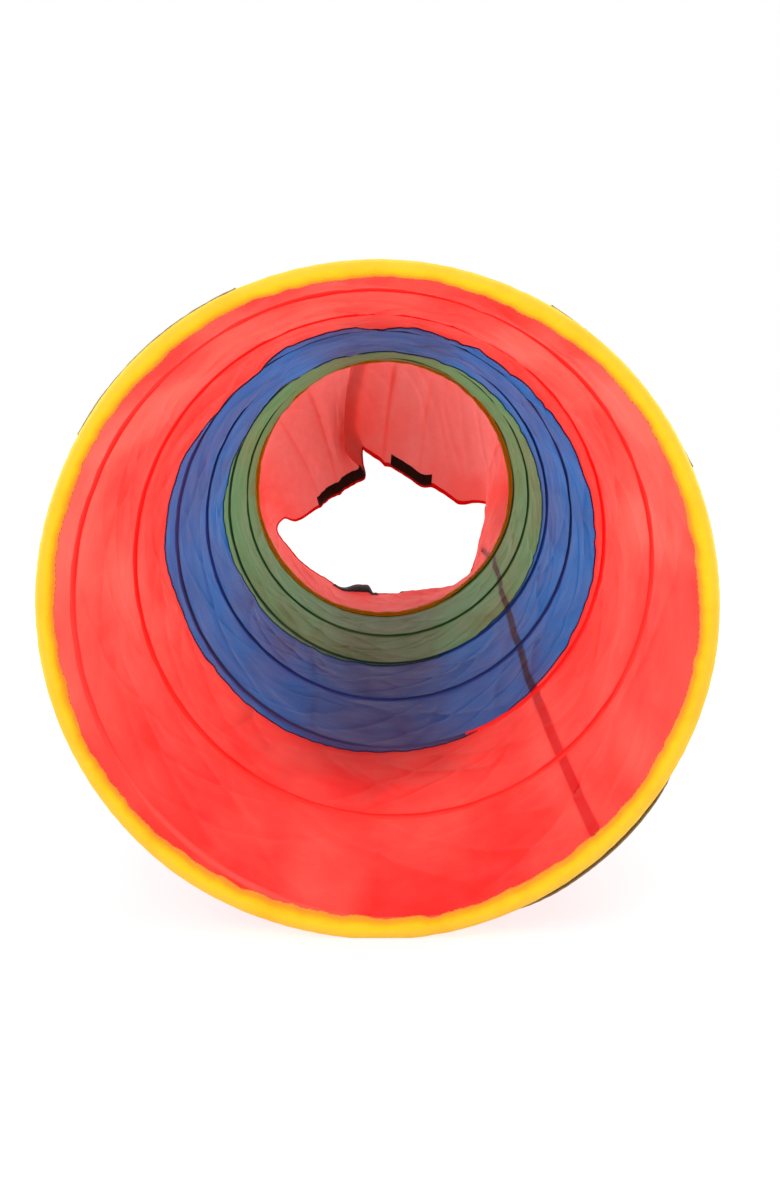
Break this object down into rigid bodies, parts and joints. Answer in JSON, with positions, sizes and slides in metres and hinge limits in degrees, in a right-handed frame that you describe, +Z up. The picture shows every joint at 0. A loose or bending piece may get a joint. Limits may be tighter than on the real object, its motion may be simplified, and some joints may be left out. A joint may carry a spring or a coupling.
{
  "type": "agility tunnel",
  "caption": "Pop-up fabric tube on a coiled spring wire, open at both ends, with bound rims and a loose connector skirt, for a dog to run through.",
  "frame": {"origin": "on the floor under the centre of the near mouth, in the plane of the near end coil", "axes": "+Y along the tunnel from the near mouth to the connector skirt, +Z up, +X to the right as seen looking in at the near mouth"},
  "size_m": [0.475, 2.1098, 0.4964],
  "materials": {
    "spring_steel": "bright drawn spring wire",
    "yellow_binding": "woven polyester binding, satin",
    "red_fabric": "thin plain-weave polyester, light passes through it",
    "red_tape": "woven polyester tape",
    "blue_fabric": "thin plain-weave polyester, light passes through it",
    "green_fabric": "thin plain-weave polyester, light passes through it",
    "dark_thread": "twisted sewing thread",
    "yellow_thread": "twisted sewing thread",
    "black_hook_tape": "hook side of hook-and-loop tape",
    "grey_loop_tape": "loop side of hook-and-loop tape, matted"
  },
  "bodies": {
    "near_end": {"near_rim_binding": "yellow_binding", "near_rim_stitching": "yellow_thread", "near_wire_ferrule": "spring_steel", "spring_wire": "spring_steel", "red_panel": "red_fabric", "red_wire_casing": "red_fabric", "lengthwise_tape": "red_tape", "upper_right_loop_strip": "grey_loop_tape", "upper_left_loop_strip": "grey_loop_tape", "lower_left_loop_strip": "grey_loop_tape", "lower_right_loop_strip": "grey_loop_tape"},
    "blue_section": {"red_blue_seam_stitching": "dark_thread", "blue_panel": "blue_fabric", "blue_wire_casing": "blue_fabric"},
    "green_section": {"blue_green_seam_stitching": "dark_thread", "green_panel": "green_fabric", "green_wire_casing": "green_fabric"},
    "far_end": {"far_rim_binding": "yellow_binding", "far_rim_stitching": "yellow_thread", "far_wire_ferrule": "spring_steel", "connector_skirt": "red_fabric"},
    "skirt_end": {"skirt_hem": "red_tape", "roof_left_hook_strip": "black_hook_tape", "roof_right_hook_strip": "black_hook_tape", "floor_left_hook_strip": "black_hook_tape", "floor_right_hook_strip": "black_hook_tape"},
    "strap_tail": {"closing_strap": "red_tape", "closing_strap_patch": "black_hook_tape"}
  },
  "joints": [
    {"name": "pack_red", "type": "slide", "parent": "near_end", "child": "blue_section", "axis": [0, -1, 0], "range_m": [0, 0.575], "stiffness_N_per_m": 12, "deforming": ["spring_wire", "red_panel", "red_wire_casing", "lengthwise_tape"]},
    {"name": "pack_blue", "type": "slide", "parent": "blue_section", "child": "green_section", "axis": [0, -1, 0], "range_m": [0, 0.575], "stiffness_N_per_m": 12, "deforming": ["blue_panel", "blue_wire_casing"]},
    {"name": "pack_green", "type": "slide", "parent": "green_section", "child": "far_end", "axis": [0, -1, 0], "range_m": [0, 0.575], "stiffness_N_per_m": 12, "deforming": ["green_panel", "green_wire_casing"]},
    {"name": "skirt_gather", "type": "slide", "parent": "far_end", "child": "skirt_end", "axis": [0, -1, 0], "range_m": [0, 0.1], "deforming": ["connector_skirt"]},
    {"name": "closing_strap_swing", "type": "hinge", "parent": "far_end", "child": "strap_tail", "pos_m": [0.19969, 1.788, 0.10662], "axis": [-0.5446, 0, -0.8387], "range_deg": [0, 165]}
  ],
  "couplings": [
    {"joint": "pack_blue", "follows": "pack_red", "ratio": 1},
    {"joint": "pack_green", "follows": "pack_red", "ratio": 1}
  ]
}
